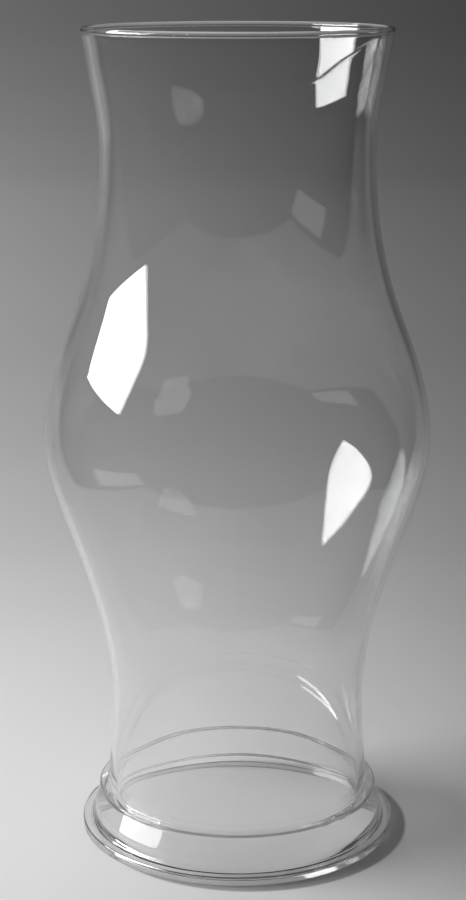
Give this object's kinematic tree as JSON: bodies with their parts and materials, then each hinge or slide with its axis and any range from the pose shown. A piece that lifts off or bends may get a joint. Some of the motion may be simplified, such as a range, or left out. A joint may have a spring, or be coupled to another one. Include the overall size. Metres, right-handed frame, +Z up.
{
  "type": "hurricane shade",
  "caption": "Clear glass hurricane shade: open baluster chimney with a flared, thickened lip, standing on a heavier flanged foot; it shields a candle or lamp flame.",
  "frame": {"origin": "centre of the base, on the surface that the shade stands on", "axes": "+Z up, along the shade's axis from the foot to the mouth; +X and +Y are any two square directions, because the shade is round"},
  "size_m": [0.1204, 0.1204, 0.254],
  "materials": {
    "glass": "clear, colourless, fire-polished gloss"
  },
  "bodies": {
    "root": {"shade_body": "glass", "foot_ring": "glass"}
  },
  "joints": []
}
